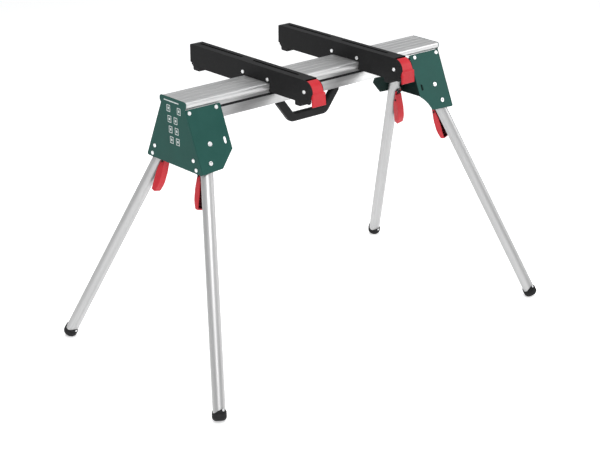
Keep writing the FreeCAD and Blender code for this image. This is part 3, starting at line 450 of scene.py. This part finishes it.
def build_object():
    rail_metal = aluminium("rail_aluminium")
    green = powder_coat("green_powder_coat", *GREEN)
    green_printed = powder_coat("green_printed_coat", *GREEN, print_bars=PRINT_BARS)
    black_coat = powder_coat("black_powder_coat", (0.010, 0.010, 0.0105),
                             (0.015, 0.015, 0.0155), (0.42, 0.55), 1500.0, 0.00006)
    black = moulded_plastic("black_plastic", (0.009, 0.009, 0.0095), (0.015, 0.015, 0.016))
    red = moulded_plastic("red_plastic", *RED, *RED_FINISH)
    rubber = moulded_plastic("black_rubber", (0.010, 0.010, 0.0105), (0.022, 0.022, 0.023),
                             (0.5, 0.68), 700.0, 0.0001)
    steel = plated_steel("plated_steel")
    # painted shade: a darkened rail finish stands in for the shade deep in the rail's groove
    groove_painted_shade = painted_shade_finish("rail_groove", (0.03, 0.03, 0.032), (0.05, 0.05, 0.052))
    # painted shade: dark green stands in for the shade on the inner faces of the side and end plates
    green_painted_shade = painted_shade_finish("green_inside", (0.004, 0.014, 0.012), (0.007, 0.022, 0.019))
    # painted shade: dark red stands in for the shade inside each lock lever's hollow back
    red_painted_shade = painted_shade_finish("red_inside", (0.05, 0.003, 0.006), (0.09, 0.005, 0.009))
    # painted shade: darkened steel stands in for the shade on the pivot nuts, lock pins and hinge pins, which are
    # bright plated steel
    steel_painted_shade = painted_shade_finish("blackened_steel", (0.012, 0.012, 0.013), (0.03, 0.03, 0.032))
    slots = {"rail_aluminium": rail_metal, "green_paint": green, "black_paint": black_coat,
             "black_plastic": black, "red_plastic": red, "black_rubber": rubber,
             "bright_steel": steel}
    for node in sorted(BODY_OF):
        width = max((len(key), value) for key, value in EDGE_WIDTHS.items()
                    if node.startswith(key))[1]
        slot = SLOT_OF[node]
        if slot == "leg_aluminium":
            corner = node.replace("leg_tube_", "")
            material = aluminium(f"leg_aluminium_{corner}", leg_turn(corner), tone=0.5,
                                 streaks=260.0, metal=0.62)
        else:
            material = slots[slot]
        if node == "end_plate_left":
            material = green_printed
        # the hinge pins get painted shade, though they are bright steel
        if node.startswith("hinge_pin"):
            material = steel_painted_shade
        if node.startswith("clamp_lever"):
            middle = SADDLE_X if node.endswith("right") else -SADDLE_X
            material = moulded_plastic(f"{node}_plastic", *RED, *RED_FINISH,
                                       (middle, *RIB_BAND))
        if width == 0.0:
            frame["nodes"][node].data.materials.clear()
            frame["nodes"][node].data.materials.append(material)
            continue
        piece = skin(node, width, material, node.startswith("clamp_lever"))
        # the faces deep in the rail's groove get painted shade
        if node == "rail":
            paint_shade_on(piece, groove_painted_shade, in_groove)
        # the nuts and pin ends inside the plates get painted shade
        if node == "pivot_bolts" or node.startswith("lock_pin"):
            paint_shade_on(piece, steel_painted_shade, lambda point: beside_plate(point)[1] > NUT_INWARD)
        # the inner faces of the side plates get painted shade
        if node.startswith("side_plate"):
            paint_shade_on(piece, green_painted_shade, lambda point: beside_plate(point)[1] > SHADE_INSIDE)
        # the inner face of each end plate gets painted shade
        if node.startswith("end_plate_") and not node.endswith("rivets"):
            paint_shade_on(piece, green_painted_shade, lambda point: abs(point.x) < END_PLATE_INSIDE)
        # the hollow inside of each lock lever gets painted shade
        if node.startswith("lock_lever"):
            paint_shade_on(piece, red_painted_shade, in_lever(node.replace("lock_lever_", "")))


# ---------------------------------------------------------------- stage


def area_light(name, place, aim, size, power):
    light = bpy.data.lights.new(name, "AREA")
    light.shape = "RECTANGLE"
    light.size, light.size_y = size
    light.energy = power
    lamp = bpy.data.objects.new(name, light)
    lamp.location = place
    lamp.rotation_euler = (Vector(aim) - Vector(place)).to_track_quat("-Z", "Y").to_euler()
    bpy.context.scene.collection.objects.link(lamp)


def build_stage():
    size = FLOOR_HALF
    mesh = bpy.data.meshes.new("studio_floor")
    mesh.from_pydata([(-size, -size, 0), (size, -size, 0), (size, size, 0),
                      (-size, size, 0)], [], [(0, 1, 2, 3)])
    mesh.materials.append(floor_material())
    floor = bpy.data.objects.new("studio_floor", mesh)
    bpy.context.scene.collection.objects.link(floor)

    world = bpy.data.worlds.new("studio")
    bpy.context.scene.world = world
    world.use_nodes = True
    nodes, links = world.node_tree.nodes, world.node_tree.links
    coordinates = nodes.new("ShaderNodeTexCoord")
    split = nodes.new("ShaderNodeSeparateXYZ")
    ramp = nodes.new("ShaderNodeValToRGB")
    links.new(coordinates.outputs["Generated"], split.inputs["Vector"])
    links.new(split.outputs["Z"], ramp.inputs["Fac"])
    links.new(ramp.outputs["Color"], nodes["Background"].inputs["Color"])
    stops = ramp.color_ramp.elements
    stops[0].position, stops[0].color = 0.0, SKY_LOW
    stops[1].position, stops[1].color = 0.75, SKY_HIGH
    nodes["Background"].inputs["Strength"].default_value = SKY_STRENGTH
    for softbox in SOFTBOXES:
        area_light(*softbox)


def build_camera():
    """The view: 41.5 degrees round to the left and 21.5 above the horizon."""
    azimuth, elevation, roll = (math.radians(value) for value in CAMERA_TURNS)
    ahead = Vector((-math.sin(azimuth) * math.cos(elevation),
                    math.cos(azimuth) * math.cos(elevation), -math.sin(elevation)))
    right = Vector((math.cos(azimuth), math.sin(azimuth), 0))
    above = right.cross(ahead)
    level = right * math.cos(roll) + above * math.sin(roll)
    upright = above * math.cos(roll) - right * math.sin(roll)
    camera = bpy.data.objects.new("camera", bpy.data.cameras.new("camera"))
    turn = Matrix((level, upright, -ahead)).transposed().to_4x4()
    camera.matrix_world = Matrix.Translation(CAMERA_PLACE) @ turn
    camera.data.sensor_width = 36.0
    camera.data.lens = CAMERA_LENS
    camera.data.shift_x = CAMERA_SHIFT
    camera.data.clip_end = 200.0
    bpy.context.scene.collection.objects.link(camera)
    bpy.context.scene.camera = camera


build_object()
build_stage()
build_camera()
scene = bpy.context.scene
scene.view_settings.view_transform = "Standard"
scene.view_settings.look = "None"
bpy.context.view_layer.update()
